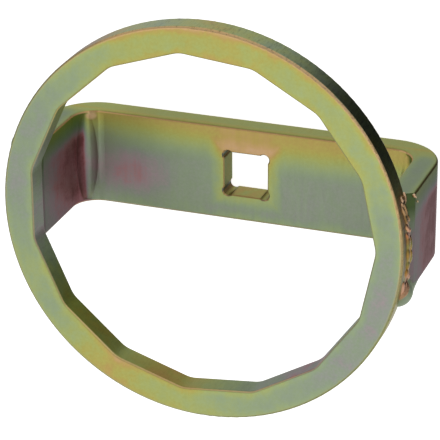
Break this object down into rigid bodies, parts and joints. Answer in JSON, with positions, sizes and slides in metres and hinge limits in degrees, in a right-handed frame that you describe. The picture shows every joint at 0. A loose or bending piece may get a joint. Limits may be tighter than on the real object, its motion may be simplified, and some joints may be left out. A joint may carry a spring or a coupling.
{
  "type": "oil filter cap wrench",
  "caption": "Fluted steel ring welded to a bent flat-bar bridge with a square drive hole, for turning a spin-on oil filter by its fluted end.",
  "frame": {"origin": "on the drive hole's axis, at the underside of the bridge's base, which is the face the wrench stands on", "axes": "+Z along the turning axis from the base up through the ring, X along the bridge from leg to leg, Y across the flat bar"},
  "size_m": [0.115, 0.113, 0.045],
  "materials": {
    "plated_ring": "yellow zinc passivate on plate, satin",
    "plated_bar": "yellow zinc passivate on rolled bar, satin",
    "plated_weld": "plated weld metal, rippled, copper tinted"
  },
  "bodies": {
    "root": {"fluted_ring": "plated_ring", "bridge_strap": "plated_bar", "weld_right": "plated_weld", "weld_left": "plated_weld"}
  },
  "joints": []
}
